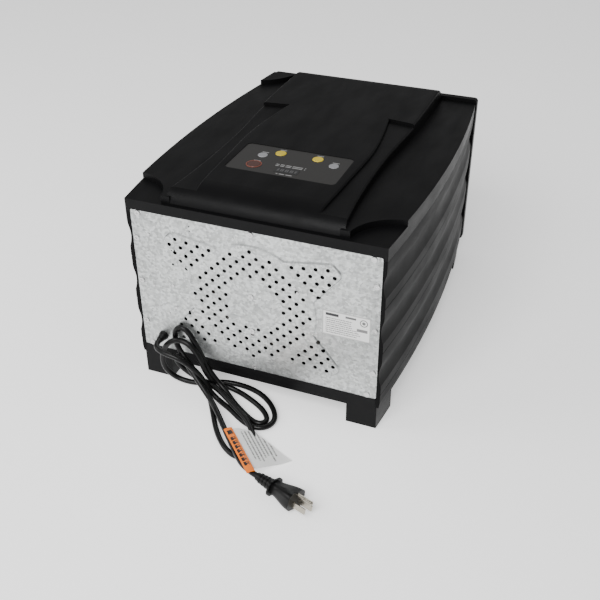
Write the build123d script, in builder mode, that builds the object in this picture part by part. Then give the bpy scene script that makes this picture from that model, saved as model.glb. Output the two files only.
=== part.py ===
from build123d import *
import os
from math import atan2, cos, degrees, pi, radians, sin, tan

# A counter-top food dehydrator: a ribbed plastic body round a tray cavity, a raised top cover with
# the controls, a vented sheet-steel back with the fan motor, and a lift-off front door.
# Millimetres. +X is to the right of someone facing the door, the door faces -Y, +Z is up, and the
# origin is on the surface that it stands on, under the middle of the body.

# ---- driving dimensions -------------------------------------------------------------------------
REAR_Y = 224.0              # outer face of the back
COVER_FRONT_Y = -213.5      # front edge of the body shells, just behind the door
DOOR_BACK_Y = -214.5
DOOR_FRONT_Y = -226.6
REAR_HALF = 160.3           # half widths of the body at its back, bulge and front
BULGE_HALF = 172.3
BULGE_Y = 12.0
FRONT_HALF = 156.5
SHELL = 5.0                 # ridge to inner face of the side shells
WALL = 3.0                  # other moulded walls

BASE_Z = 28.3               # underside of the body, which is the height of the feet
SIDE_BOTTOM_Z = 33.3        # lower edge of the side shells
PANEL_BOTTOM_Z = 45.3       # sheet-steel back
PANEL_TOP_Z = 240.9
COVER_Z = 237.5             # parting line between the side shells and the top cover
REAR_PAD_Z = 254.0          # low corners at the back of the cover
WING_REAR_Z = 262.6         # top of the cover beside the raised middle, at the back and front
WING_FRONT_Z = 252.5
SHOULDER_Z = 269.8          # lower level of the raised middle
DOME_Z = 273.8              # upper level of the raised middle
PAD_Z = 259.6               # raised front corner

PANEL_HALF = 155.0
SHEET = 0.8
SHEET_Y = 223.2             # outer face of the sheet-steel back
VENT_X = 2.0                # middle of the vent pattern and of the fan
VENT_Z = 141.8
FAN_Z = 130.2

CAVITY_HALF = 144.5
CAVITY_FLOOR_Z = 48.5
CAVITY_TOP_Z = 239.0
BAFFLE_Y = 140.0            # rear face of the wall between the trays and the fan
TRAY_COUNT = 6
TRAY_PITCH = 29.0
FIRST_TRAY_Z = 64.0
TRAY_HALF = 143.6
TRAY_FRONT_Y = -203.0
TRAY_BACK_Y = 134.0
CORD_R = 3.5

os.makedirs("parts", exist_ok=True)


def save(part, label):
    """Label a finished piece and write it to its own file."""
    part.label = label
    export_step(part, f"parts/{label}.step")


def rear_plane(y):
    """A plane that faces backwards, with its first axis towards -X and its second one up."""
    return Plane(origin=(0, y, 0), x_dir=(-1, 0, 0), z_dir=(0, 1, 0))


def front_plane(y):
    """A plane that faces the front, with its first axis along +X and its second one up."""
    return Plane(origin=(0, y, 0), x_dir=(1, 0, 0), z_dir=(0, -1, 0))


side_arc = ThreePointArc((REAR_HALF, REAR_Y), (BULGE_HALF, BULGE_Y), (FRONT_HALF, COVER_FRONT_Y))
ARC_CENTRE = side_arc.arc_center
ARC_RADIUS = side_arc.radius


def plan(inset, front_y=COVER_FRONT_Y, rear_y=REAR_Y):
    """The body's outline from above, its bulging sides moved in by inset, between two depths."""
    radius = ARC_RADIUS - inset
    reach = 300
    with BuildSketch() as outline:
        with Locations((ARC_CENTRE.X, ARC_CENTRE.Y)):
            Circle(radius)
        with Locations((-ARC_CENTRE.X, ARC_CENTRE.Y)):
            Circle(radius, mode=Mode.INTERSECT)
        with Locations((0, (front_y + rear_y) / 2)):
            Rectangle(reach * 2, rear_y - front_y, mode=Mode.INTERSECT)
    return outline.sketch


# ---- base and feet ------------------------------------------------------------------------------
BASE_INSET = 3.4            # the base stands in from the ridges of the side shells
INNER_INSET = SHELL + 0.3   # anything inside the side shells
FOOT_IN_X = 118.7
FOOT_DEPTH = 46.0
FOOT_LIFT = 0.8             # the rubber pads stand proud of the feet by this
PAD_R = 9.0
DOOR_PEG_X = 110.0
DOOR_PEG_Z = 38.5

with BuildPart() as base_pan:
    with BuildSketch(Plane.XY.offset(BASE_Z)):
        add(plan(BASE_INSET))
    extrude(amount=SIDE_BOTTOM_Z - 0.1 - BASE_Z)
    with BuildSketch(Plane.XY.offset(SIDE_BOTTOM_Z - 0.1)):
        add(plan(INNER_INSET))
    extrude(amount=PANEL_BOTTOM_Z - SIDE_BOTTOM_Z)
    with BuildSketch(Plane.XY.offset(BASE_Z + WALL)):
        add(plan(INNER_INSET + WALL, COVER_FRONT_Y + WALL, REAR_Y - WALL))
    extrude(amount=PANEL_BOTTOM_Z, mode=Mode.SUBTRACT)
    with BuildSketch(front_plane(COVER_FRONT_Y)):
        with Locations((DOOR_PEG_X, DOOR_PEG_Z), (-DOOR_PEG_X, DOOR_PEG_Z)):
            Rectangle(20.8, 5.8)
    extrude(amount=-WALL, mode=Mode.SUBTRACT)
save(base_pan.part, "base_pan")


def foot(front, left):
    """A corner block that follows the side's curve, with a pocket for its rubber pad."""
    near_y = COVER_FRONT_Y if front else REAR_Y - FOOT_DEPTH
    side = -1 if left else 1
    with BuildPart() as block:
        with BuildSketch(Plane.XY.offset(FOOT_LIFT)):
            add(plan(BASE_INSET, near_y, near_y + FOOT_DEPTH))
            with Locations((side * (FOOT_IN_X + 100), near_y + FOOT_DEPTH / 2)):
                Rectangle(200, FOOT_DEPTH, mode=Mode.INTERSECT)
        extrude(amount=BASE_Z - FOOT_LIFT)
        with BuildSketch(Plane.XY.offset(FOOT_LIFT)):
            with Locations((side * 140, near_y + FOOT_DEPTH / 2)):
                Circle(PAD_R + 0.1)
        extrude(amount=2.2, mode=Mode.SUBTRACT)
    return block.part


with BuildPart() as feet_front:
    add(foot(True, True))
    add(foot(True, False))
save(feet_front.part, "feet_front")

with BuildPart() as feet_rear:
    add(foot(False, True))
    add(foot(False, False))
save(feet_rear.part, "feet_rear")

FOOT_PAD_YS = (COVER_FRONT_Y + FOOT_DEPTH / 2, REAR_Y - FOOT_DEPTH / 2)
with BuildPart() as foot_pads:
    with BuildSketch():
        with Locations([(side * 140, y) for side in (-1, 1) for y in FOOT_PAD_YS]):
            Circle(PAD_R)
    extrude(amount=FOOT_LIFT + 2.2)
save(foot_pads.part, "foot_pads")

# ---- ribbed side shells -------------------------------------------------------------------------
RIB_PITCH = 61.4
RIB_DEPTH = 3.1


def rib_profile():
    """Section of a side shell: ridges that meet at fine grooves, with soft hollows between them."""
    with BuildSketch() as section:
        with BuildLine():
            here = (0, COVER_Z - 0.3)
            top = COVER_Z
            while top - 12 > SIDE_BOTTOM_Z:
                flat_end = (0, top - 12)
                Line(here, flat_end)
                low = top - RIB_PITCH
                if low < SIDE_BOTTOM_Z:
                    here = (-1.2, SIDE_BOTTOM_Z)
                    Line(flat_end, here)
                    break
                hollow_end = (0, top - 48)
                Spline(flat_end, (-RIB_DEPTH * 0.8, top - 25), (-RIB_DEPTH, top - 34), hollow_end,
                       tangents=[(0, -1), (0.35, -1)])
                lip = (0.3, low + 0.8)
                Line(hollow_end, lip)
                groove = (-0.6, low)
                Line(lip, groove)
                here = (0, low - 0.8)
                Line(groove, here)
                top = low
            Polyline(here, (-SHELL, SIDE_BOTTOM_Z), (-SHELL, COVER_Z - 0.3), (0, COVER_Z - 0.3))
        make_face()
    return section.sketch


front_angle = atan2(COVER_FRONT_Y - ARC_CENTRE.Y, FRONT_HALF - ARC_CENTRE.X)
rear_angle = atan2(REAR_Y - ARC_CENTRE.Y, REAR_HALF - ARC_CENTRE.X)
START_ANGLE = front_angle - radians(0.3)
section_dir = Vector(cos(START_ANGLE), sin(START_ANGLE), 0)
section_plane = Plane(
    origin=Vector(ARC_CENTRE.X, ARC_CENTRE.Y, 0) + section_dir * ARC_RADIUS,
    x_dir=section_dir,
    z_dir=section_dir.cross(Vector(0, 0, 1)),
)
with BuildPart() as side_shell_right:
    with BuildSketch(section_plane):
        add(rib_profile())
    revolve(
        axis=Axis((ARC_CENTRE.X, ARC_CENTRE.Y, 0), (0, 0, 1)),
        revolution_arc=degrees(rear_angle - front_angle) + 0.6,
    )
    split(bisect_by=rear_plane(REAR_Y), keep=Keep.BOTTOM)
    split(bisect_by=front_plane(COVER_FRONT_Y), keep=Keep.BOTTOM)
save(side_shell_right.part, "side_shell_right")

with BuildPart() as side_shell_left:
    mirror(side_shell_right.part, about=Plane.YZ)
save(side_shell_left.part, "side_shell_left")

# ---- top cover ----------------------------------------------------------------------------------
LIP_Y = 218.0               # foot of the raised middle's rear slope
FOOT_Y = -211.0             # foot of its front slope
CONTROL_X = 0.0
CONTROL_Y = 106.0
CONTROL_SIZE = (140.0, 74.0)
CONTROL_R = 6.0
CONTROL_DEPTH = 1.0
KEYS = {                    # name: x, y, radius
    "power": (39.6, 123.0, 8.0),
    "timer": (39.5, 96.0, 6.2),
    "up": (20.6, 84.0, 6.8),
    "down": (-27.8, 84.0, 6.8),
    "light": (-52.0, 95.0, 6.2),
}
KEY_GAP = 0.35
DISPLAY = (-4.7, 127.0)
DISPLAY_SIZE = (30.0, 12.0)


def side_profile(points):
    """A slab across the whole width whose outline, seen from the side, is the given points."""
    with BuildPart() as slab:
        with BuildSketch(Plane.YZ):
            with BuildLine():
                Polyline(*points, close=True)
            make_face()
        extrude(amount=200, both=True)
    return slab.part


def wing_body():
    """The cover without its raised middle: the body's outline under a top that slopes forwards."""
    with BuildPart() as wings:
        with BuildSketch(Plane.XY.offset(COVER_Z)):
            add(plan(0))
        extrude(amount=60)
        add(
            side_profile([(COVER_FRONT_Y, COVER_Z), (REAR_Y, COVER_Z),
                          (REAR_Y, WING_REAR_Z), (COVER_FRONT_Y, WING_FRONT_Z)]),
            mode=Mode.INTERSECT,
        )
    return wings.part


def cover_hollow():
    """The space under the wings, which is lower behind the low corners' front edge."""
    low_y = 164
    slope = (WING_REAR_Z - WING_FRONT_Z) / (REAR_Y - COVER_FRONT_Y)
    low_z = WING_REAR_Z - slope * (REAR_Y - low_y) - WALL
    with BuildPart() as hollow:
        with BuildSketch(Plane.XY.offset(COVER_Z)):
            add(plan(SHELL, COVER_FRONT_Y + WALL, REAR_Y - WALL))
        extrude(amount=60)
        add(
            side_profile([(COVER_FRONT_Y, COVER_Z), (REAR_Y, COVER_Z), (REAR_Y, REAR_PAD_Z - WALL),
                          (low_y, REAR_PAD_Z - WALL), (low_y, low_z),
                          (COVER_FRONT_Y, WING_FRONT_Z - WALL)]),
            mode=Mode.INTERSECT,
        )
    return hollow.part


def half_width_outline(stations, front_y, rear_y):
    """A symmetrical outline from above whose half width runs smoothly through the stations."""
    with BuildSketch() as outline:
        with BuildLine():
            edge = Spline(*stations)
            mirror(edge, about=Plane.YZ)
            Line((-stations[0][0], front_y), (stations[0][0], front_y))
            Line((-stations[-1][0], rear_y), (stations[-1][0], rear_y))
        make_face()
    return outline.sketch


SHOULDER_STATIONS = [(108, FOOT_Y), (108.2, -120), (105.8, -36), (102, 20), (101, 90), (103, 150),
                     (109, LIP_Y)]
LEVEL_STATIONS = [(72, -66), (80.5, -6), (83.8, 40), (81.5, 104), (79, 160), (75, LIP_Y)]
NOTCH_HALF = 103.5
EDGE_R = 2.4


def crown():
    """The raised middle seen from the side: a flat top that rolls over to the back and the front."""
    low = WING_FRONT_Z - 3
    with BuildPart() as slab:
        with BuildSketch(Plane.YZ):
            with BuildLine():
                Line((FOOT_Y, low), (FOOT_Y, WING_FRONT_Z + 2))
                Spline((FOOT_Y, WING_FRONT_Z + 2), (-184, DOME_Z), tangents=[(0.45, 1), (1, 0)])
                Line((-184, DOME_Z), (182, DOME_Z))
                Spline((182, DOME_Z), (LIP_Y, REAR_PAD_Z + 0.6), tangents=[(1, 0), (0.3, -1)])
                Polyline((LIP_Y, REAR_PAD_Z + 0.6), (LIP_Y, low), (FOOT_Y, low))
            make_face()
        extrude(amount=200, both=True)
    return slab.part


def shoulder_cut():
    """The area above one shoulder, beside the narrower upper level."""
    with BuildPart() as area:
        with BuildSketch(Plane.XY.offset(SHOULDER_Z)):
            with BuildLine():
                Spline(*LEVEL_STATIONS)
                Polyline(LEVEL_STATIONS[-1], (LEVEL_STATIONS[-1][0], 240), (140, 240), (140, -56),
                         LEVEL_STATIONS[0])
            make_face()
        extrude(amount=30)
    return area.part


def on_flank(edge):
    """Whether an edge is one of the long upper edges at either side of the raised middle."""
    box = edge.bounding_box()
    flat = box.size.Z < 0.1
    reach = max(abs(box.min.X), abs(box.max.X))
    at_dome = abs(box.min.Z - DOME_Z) < 0.1 and reach > 60
    at_shoulder = abs(box.min.Z - SHOULDER_Z) < 0.1 and reach > 95
    return flat and box.size.Y > 100 and (at_dome or at_shoulder)


with BuildPart() as raised_middle:
    with BuildSketch(Plane.XY.offset(WING_FRONT_Z - 2)):
        add(half_width_outline(SHOULDER_STATIONS, FOOT_Y, LIP_Y))
    extrude(amount=40)
    add(crown(), mode=Mode.INTERSECT)
    add(shoulder_cut(), mode=Mode.SUBTRACT)
    add(shoulder_cut().mirror(Plane.YZ), mode=Mode.SUBTRACT)
    fillet(raised_middle.edges().filter_by(on_flank), radius=EDGE_R)


with BuildPart() as top_cover:
    add(wing_body())
    with BuildSketch(Plane.XY.offset(REAR_PAD_Z)):
        with BuildLine():
            ThreePointArc((180, 171), (129, 188.5), (115, LIP_Y))
            Line((115, LIP_Y), (-115, LIP_Y))
            ThreePointArc((-115, LIP_Y), (-129, 188.5), (-180, 171))
            Polyline((-180, 171), (-180, REAR_Y + 5), (180, REAR_Y + 5), (180, 171))
        make_face()
    extrude(amount=40, mode=Mode.SUBTRACT)
    with BuildSketch(Plane.XY.offset(REAR_PAD_Z - 1.5)):
        with Locations((0, 205)):
            Rectangle(2 * NOTCH_HALF, 30)
        with Locations((0, LIP_Y + 10)):
            Rectangle(400, 20, mode=Mode.SUBTRACT)
    extrude(amount=40, mode=Mode.SUBTRACT)
    add(raised_middle.part)
    # raised front corner
    with BuildSketch(Plane.XY.offset(COVER_Z + 4)):
        add(plan(0.4, COVER_FRONT_Y, -150))
        with BuildSketch(mode=Mode.INTERSECT):
            with BuildLine():
                ThreePointArc((180, -168), (137, -189), (122, COVER_FRONT_Y))
                Polyline((122, COVER_FRONT_Y), (180, COVER_FRONT_Y), (180, -168))
            make_face()
    extrude(amount=PAD_Z - COVER_Z - 4)
    # hollow underside
    add(cover_hollow(), mode=Mode.SUBTRACT)
    with BuildSketch(Plane.XY.offset(COVER_Z)):
        with Locations((0, -6)):
            Rectangle(190, 372)
    extrude(amount=SHOULDER_Z - WALL - COVER_Z, mode=Mode.SUBTRACT)
    with BuildSketch(Plane.XY.offset(COVER_Z)):
        with Locations((0, 68)):
            Rectangle(144, 160)
    extrude(amount=DOME_Z - WALL - COVER_Z, mode=Mode.SUBTRACT)
    # room for the sheet back and the front frame
    with BuildSketch(Plane.XY.offset(COVER_Z)):
        with Locations((0, REAR_Y - 5), (0, COVER_FRONT_Y + 6)):
            Rectangle(2 * PANEL_HALF, 20)
        Rectangle(2 * (REAR_HALF + 20), 2 * REAR_Y + 20, mode=Mode.INTERSECT)
    extrude(amount=PANEL_TOP_Z + 0.1 - COVER_Z, mode=Mode.SUBTRACT)
    # recess for the control panel, its display and its keys
    with BuildSketch(Plane.XY.offset(DOME_Z - CONTROL_DEPTH)):
        with Locations((CONTROL_X, CONTROL_Y)):
            RectangleRounded(*CONTROL_SIZE, CONTROL_R)
    extrude(amount=10, mode=Mode.SUBTRACT)
    with BuildSketch(Plane.XY.offset(DOME_Z - 2 * WALL)):
        for x, y, r in KEYS.values():
            with Locations((x, y)):
                Circle(r + KEY_GAP + 0.3)
        with Locations(DISPLAY):
            Rectangle(DISPLAY_SIZE[0] - 2, DISPLAY_SIZE[1] - 2)
    extrude(amount=20, mode=Mode.SUBTRACT)
save(top_cover.part, "top_cover")

# ---- sheet-steel back ---------------------------------------------------------------------------
HOLE_R = 2.5
HOLE_PITCH = 8.2
EMBOSS = 2.0
SCREW_SHANK_R = 1.6
SCREW_HEAD_R = 3.8
EDGE_SCREWS = [(0.4, 237.0), (1.6, 49.2)] + [
    (side * x, z) for side in (-1, 1)
    for x, z in ((145.2, 237.0), (149.8, 203), (149.8, 143.3), (149.8, 83.4), (144, 49.5))
]
MOTOR_SCREWS = [(VENT_X, FAN_Z + 24.4), (VENT_X, FAN_Z - 24.4)]
RIVETS_ON_SHEET = [(133.4, 210.6), (133.1, 138.8), (106.4, 144.4), (116.2, 101.7), (104.8, 112.6)]
RIVETS_ON_EMBOSS = [(-53.4, 179.6), (-57, 173.5), (-45.9, 90.1)]
LABEL_X = (-144.6, -86.5)
LABEL_Z = (124.9, 158.5)
CORD_EXIT = (127.2, 65.0)


def mirrored_four(x, z):
    """A point beside the middle of the vents and its three mirror images, as panel positions."""
    return [(VENT_X + a * x, VENT_Z + b * z) for a in (-1, 1) for b in (-1, 1)]


def vent_holes():
    """Hole centres: a staggered ring around the motor, and a wedge of rows out to each corner."""
    spots = []
    for i in range(-9, 10):
        for j in range(-9, 10):
            if (i + j) % 2 and 25 <= i * i + j * j <= 81:
                spots.append((VENT_X + i * HOLE_PITCH, VENT_Z + j * HOLE_PITCH))
    for i, j in ((4, 1), (4, -1), (1, -4), (-1, -4)):
        spots.append((VENT_X + i * HOLE_PITCH, VENT_Z + j * HOLE_PITCH))
    for row in range(5):
        for place in range(1 if row == 4 else 0, row + 1):
            spots += mirrored_four(84 + 6.4 * row - 14.5 * place, 31.5 + 10.2 * row - 1.9 * place)
    return spots


def at_panel(points):
    """Panel positions, given as x and z, in the coordinates of a backward-facing plane."""
    return [(-x, z) for x, z in points]


def emboss_outline(grow):
    """The raised field of the back: a disc with a lobe towards each corner."""
    with BuildSketch() as field:
        for a in (-1, 1):
            for b in (-1, 1):
                with BuildLine():
                    lobe = Polyline((0, 0), (40 * a, 70 * b), (100 * a, 80 * b), (114 * a, 66 * b),
                                    (78 * a, 22 * b), (0, 0))
                make_face()
        Circle(82)
        fillet(field.vertices().filter_by(lambda v: abs(v.X) > 95), radius=9)
        if grow:
            offset(amount=grow, kind=Kind.INTERSECTION)
    return field.sketch


with BuildPart() as rear_panel:
    with BuildSketch(rear_plane(SHEET_Y - SHEET)):
        with Locations((0, (PANEL_BOTTOM_Z + PANEL_TOP_Z) / 2)):
            RectangleRounded(2 * PANEL_HALF, PANEL_TOP_Z - PANEL_BOTTOM_Z, 3)
    extrude(amount=SHEET)
    with BuildSketch(rear_plane(SHEET_Y)):
        with Locations((-VENT_X, VENT_Z)):
            add(emboss_outline(0))
    extrude(amount=EMBOSS, taper=35)
    with BuildSketch(rear_plane(SHEET_Y - SHEET)):
        with Locations((-VENT_X, VENT_Z)):
            add(emboss_outline(-0.6))
    extrude(amount=EMBOSS, taper=35, mode=Mode.SUBTRACT)
    with BuildSketch(rear_plane(SHEET_Y - 2 * SHEET)):
        with Locations(at_panel(vent_holes())):
            Circle(HOLE_R)
        with Locations(at_panel(EDGE_SCREWS + MOTOR_SCREWS)):
            Circle(SCREW_SHANK_R + 0.1)
        with Locations(at_panel([CORD_EXIT])):
            Circle(4.8)
        with Locations(at_panel([(104, 175.3)])):
            Circle(1.6)
        with Locations(at_panel([(78.2, 231.9), (78.1, 225.9), (103.2, 196), (99, 197)])):
            Circle(0.9)
    extrude(amount=3 * SHEET + EMBOSS, mode=Mode.SUBTRACT)
save(rear_panel.part, "rear_panel")


def screws(points, seat_y, head_r, length):
    """Pan-head screws in the back, all seated at one depth."""
    with BuildPart() as group:
        with BuildSketch(rear_plane(seat_y)):
            with Locations(at_panel(points)):
                Circle(head_r)
        extrude(amount=1.3, taper=18)
        with BuildSketch(rear_plane(seat_y)):
            with Locations(at_panel(points)):
                Circle(SCREW_SHANK_R)
        extrude(amount=-length)
        with BuildSketch(rear_plane(seat_y + 1.3)):
            with Locations(at_panel(points)):
                Rectangle(3.4, 0.8)
                Rectangle(0.8, 3.4)
        extrude(amount=-0.7, mode=Mode.SUBTRACT)
    return group.part


save(screws(EDGE_SCREWS, SHEET_Y, SCREW_HEAD_R, 7), "panel_screws")
save(screws(MOTOR_SCREWS, SHEET_Y + EMBOSS, SCREW_HEAD_R, 6), "motor_screws")

with BuildPart() as rivets:
    for points, seat_y in ((RIVETS_ON_SHEET, SHEET_Y), (RIVETS_ON_EMBOSS, SHEET_Y + EMBOSS)):
        with BuildSketch(rear_plane(seat_y)):
            with Locations(at_panel(points)):
                Circle(2.3)
        extrude(amount=0.8, taper=30)
save(rivets.part, "rivets")

with BuildPart() as rating_label:
    with BuildSketch(rear_plane(SHEET_Y)):
        with Locations((-sum(LABEL_X) / 2, sum(LABEL_Z) / 2)):
            RectangleRounded(LABEL_X[1] - LABEL_X[0], LABEL_Z[1] - LABEL_Z[0], 2.5)
    extrude(amount=0.2)
save(rating_label.part, "rating_label")


def ring_frame(near_y, far_y, outer, hole, hole_z):
    """An upright rectangular ring: outer is half width, bottom and top, hole is its half width."""
    with BuildPart() as ring:
        with BuildSketch(rear_plane(near_y)):
            with Locations((0, (outer[1] + outer[2]) / 2)):
                Rectangle(2 * outer[0], outer[2] - outer[1])
            with Locations((0, sum(hole_z) / 2)):
                Rectangle(2 * hole, hole_z[1] - hole_z[0], mode=Mode.SUBTRACT)
        extrude(amount=far_y - near_y)
    return ring.part


with BuildPart() as rear_frame:
    add(ring_frame(213, SHEET_Y - SHEET, (154.8, PANEL_BOTTOM_Z, PANEL_TOP_Z), 145.5, (55, 231.5)))
    with BuildSketch(rear_plane(SHEET_Y - SHEET)):
        with Locations(at_panel(EDGE_SCREWS)):
            Circle(SCREW_SHANK_R + 0.1)
    extrude(amount=-8, mode=Mode.SUBTRACT)
save(rear_frame.part, "rear_frame")

# ---- tray cavity --------------------------------------------------------------------------------
FRAME_BACK_Y = -206.5
LINER_T = 2.0
LEDGE_REACH = 5.6
CAVITY_OUT = CAVITY_HALF + LINER_T

front_frame = ring_frame(
    COVER_FRONT_Y, FRAME_BACK_Y, (150.9, PANEL_BOTTOM_Z, PANEL_TOP_Z), CAVITY_HALF + 0.1,
    (CAVITY_FLOOR_Z, CAVITY_TOP_Z),
)
save(front_frame, "front_frame")


def tray_z(index):
    """Underside of a tray, counted from the bottom one."""
    return FIRST_TRAY_Z + index * TRAY_PITCH


def liner(side):
    """A side wall of the cavity with a ledge under each tray."""
    with BuildPart() as wall:
        with BuildSketch(rear_plane(FRAME_BACK_Y + 0.1)):
            with Locations((-side * (CAVITY_HALF + LINER_T / 2), (CAVITY_FLOOR_Z + CAVITY_TOP_Z) / 2)):
                Rectangle(LINER_T, CAVITY_TOP_Z - CAVITY_FLOOR_Z)
            for index in range(TRAY_COUNT):
                with Locations((-side * (CAVITY_HALF - LEDGE_REACH / 2 + 0.5), tray_z(index) - 1.2)):
                    Rectangle(LEDGE_REACH + 1, 2)
        extrude(amount=BAFFLE_Y - FRAME_BACK_Y - 2.2)
    return wall.part


save(liner(-1), "liner_left")
save(liner(1), "liner_right")


def flat_plate(half_width, near_y, far_y, bottom, thickness):
    """A level rectangular plate."""
    with BuildPart() as plate:
        with BuildSketch(Plane.XY.offset(bottom)):
            with Locations((0, (near_y + far_y) / 2)):
                Rectangle(2 * half_width, far_y - near_y)
        extrude(amount=thickness)
    return plate.part


save(flat_plate(CAVITY_OUT, FRAME_BACK_Y + 0.1, BAFFLE_Y - 2.1, CAVITY_FLOOR_Z - 2, 2), "liner_floor")
save(flat_plate(CAVITY_OUT, FRAME_BACK_Y + 0.1, BAFFLE_Y - 2.1, CAVITY_TOP_Z, 1.5), "liner_ceiling")

GRILLE_R = 62
with BuildPart() as fan_baffle:
    with BuildSketch(rear_plane(BAFFLE_Y - 2)):
        with Locations((0, (PANEL_BOTTOM_Z + PANEL_TOP_Z) / 2)):
            Rectangle(2 * CAVITY_OUT, PANEL_TOP_Z - PANEL_BOTTOM_Z - 1)
        for ring in range(4):
            for step in range(24):
                turn = 2 * pi * step / 24
                r = 20 + 13 * ring
                with Locations((-VENT_X + r * cos(turn), FAN_Z + r * sin(turn))):
                    Circle(1.9 + 0.8 * ring, mode=Mode.SUBTRACT)
        with Locations([(x, z) for x in (-118, 118) for z in range(70, 230, 18)]):
            SlotOverall(34, 7, mode=Mode.SUBTRACT)
    extrude(amount=2)
save(fan_baffle.part, "fan_baffle")

# ---- trays --------------------------------------------------------------------------------------
RIM_H = 7.0
RIM_T = 3.0
MESH_T = 1.8
MESH_COLUMNS = 13
MESH_ROWS = 15
TRAY_WIDE = 2 * TRAY_HALF
TRAY_LONG = TRAY_BACK_Y - TRAY_FRONT_Y
TRAY_MID_Y = (TRAY_BACK_Y + TRAY_FRONT_Y) / 2


def tray(index):
    """A drying rack: an open lattice level with the top of its stiffening rim."""
    bottom = tray_z(index)
    cell_x = (TRAY_WIDE - 12) / MESH_COLUMNS
    cell_y = (TRAY_LONG - 12) / MESH_ROWS
    with BuildPart() as piece:
        with BuildSketch(Plane.XY.offset(bottom)):
            with Locations((0, TRAY_MID_Y)):
                RectangleRounded(TRAY_WIDE, TRAY_LONG, 6)
        extrude(amount=RIM_H)
        with BuildSketch(Plane.XY.offset(bottom)):
            with Locations((0, TRAY_MID_Y)):
                RectangleRounded(TRAY_WIDE - 2 * RIM_T, TRAY_LONG - 2 * RIM_T, 4)
        extrude(amount=RIM_H - MESH_T, mode=Mode.SUBTRACT)
        with BuildSketch(Plane.XY.offset(bottom)):
            with Locations((0, TRAY_MID_Y)):
                with GridLocations(cell_x, cell_y, MESH_COLUMNS, MESH_ROWS):
                    Rectangle(cell_x - 2.4, cell_y - 2.4)
        extrude(amount=RIM_H, mode=Mode.SUBTRACT)
    return piece.part


for index in range(TRAY_COUNT):
    save(tray(index), f"tray_{index + 1}")

with BuildPart() as drip_tray:
    with BuildSketch(Plane.XY.offset(CAVITY_FLOOR_Z + 0.2)):
        with Locations((0, TRAY_MID_Y)):
            RectangleRounded(2 * 137, TRAY_LONG, 8)
    extrude(amount=7)
    with BuildSketch(Plane.XY.offset(CAVITY_FLOOR_Z + 1.6)):
        with Locations((0, TRAY_MID_Y)):
            RectangleRounded(2 * 137 - 4, TRAY_LONG - 4, 6)
    extrude(amount=8, mode=Mode.SUBTRACT)
save(drip_tray.part, "drip_tray")

# ---- door ---------------------------------------------------------------------------------------
DOOR_HALF = 158.2
DOOR_BOTTOM_Z = 29.5
DOOR_TOP_Z = 257.4
WINDOW_HALF = 122.0
WINDOW_Z = (62.0, 214.0)
GRIP_Z = 236.0
GRIP_HALF = 46.0
MAGNET_X = 148.0
MAGNET_Z = 226.0
DOOR_MID_Z = (DOOR_BOTTOM_Z + DOOR_TOP_Z) / 2

with BuildPart() as door_frame:
    with BuildSketch(front_plane(DOOR_BACK_Y)):
        with Locations((0, DOOR_MID_Z)):
            RectangleRounded(2 * DOOR_HALF, DOOR_TOP_Z - DOOR_BOTTOM_Z, 5)
    extrude(amount=DOOR_BACK_Y - DOOR_FRONT_Y)
    fillet(door_frame.faces().sort_by(Axis.Y)[0].edges(), radius=3)
    with BuildSketch(front_plane(DOOR_BACK_Y)):
        with Locations((0, sum(WINDOW_Z) / 2)):
            RectangleRounded(2 * WINDOW_HALF, WINDOW_Z[1] - WINDOW_Z[0], 8)
    extrude(amount=30, both=True, mode=Mode.SUBTRACT)
    with BuildSketch(front_plane(DOOR_FRONT_Y)):
        with Locations((0, GRIP_Z)):
            RectangleRounded(2 * GRIP_HALF, 24, 4)
    extrude(amount=-9, mode=Mode.SUBTRACT)
    with BuildSketch(front_plane(DOOR_BACK_Y)):
        with Locations((-MAGNET_X, MAGNET_Z), (MAGNET_X, MAGNET_Z)):
            Rectangle(4.2, 20.2)
    extrude(amount=4, mode=Mode.SUBTRACT)
    with BuildSketch(front_plane(DOOR_BACK_Y)):
        with Locations((-DOOR_PEG_X, DOOR_PEG_Z), (DOOR_PEG_X, DOOR_PEG_Z)):
            Rectangle(20, 5)
    extrude(amount=-6.5)
save(door_frame.part, "door_frame")

with BuildPart() as door_window:
    with BuildSketch(front_plane(DOOR_BACK_Y - 4)):
        with Locations((0, sum(WINDOW_Z) / 2)):
            RectangleRounded(2 * WINDOW_HALF, WINDOW_Z[1] - WINDOW_Z[0], 8)
    extrude(amount=3)
save(door_window.part, "door_window")

with BuildPart() as door_handle:
    with BuildSketch(front_plane(DOOR_FRONT_Y + 4.6)):
        with Locations((0, GRIP_Z + 4.5)):
            Rectangle(2 * GRIP_HALF, 6)
    extrude(amount=4.2)
    fillet(door_handle.edges().filter_by(Axis.X), radius=1.4)
save(door_handle.part, "door_handle")

with BuildPart() as door_magnets:
    with BuildSketch(front_plane(DOOR_BACK_Y)):
        with Locations((-MAGNET_X, MAGNET_Z), (MAGNET_X, MAGNET_Z)):
            Rectangle(4, 20)
    extrude(amount=3.9)
save(door_magnets.part, "door_magnets")

# ---- fan, motor and heater ----------------------------------------------------------------------
FAN_Y = 166.0
FAN_R = 70.0
MOTOR_Y = 184.0
MOTOR_LONG = 30.0
MOTOR_R = 27.0
SHAFT_R = 3.0


def fan_plane(y):
    """A backward-facing plane centred on the fan's axis."""
    return Plane(origin=(VENT_X, y, FAN_Z), x_dir=(-1, 0, 0), z_dir=(0, 1, 0))


with BuildPart(fan_plane(FAN_Y)) as fan:
    Cylinder(13, 16)
    with PolarLocations(40, 6):
        Box(58, 26, 1.8, rotation=(32, 0, 0))
    with BuildSketch(fan_plane(FAN_Y - 20)):
        Circle(FAN_R)
    extrude(amount=40, mode=Mode.INTERSECT)
    with BuildSketch(fan_plane(FAN_Y - 20)):
        Circle(SHAFT_R)
    extrude(amount=40, mode=Mode.SUBTRACT)
save(fan.part, "fan")

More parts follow.
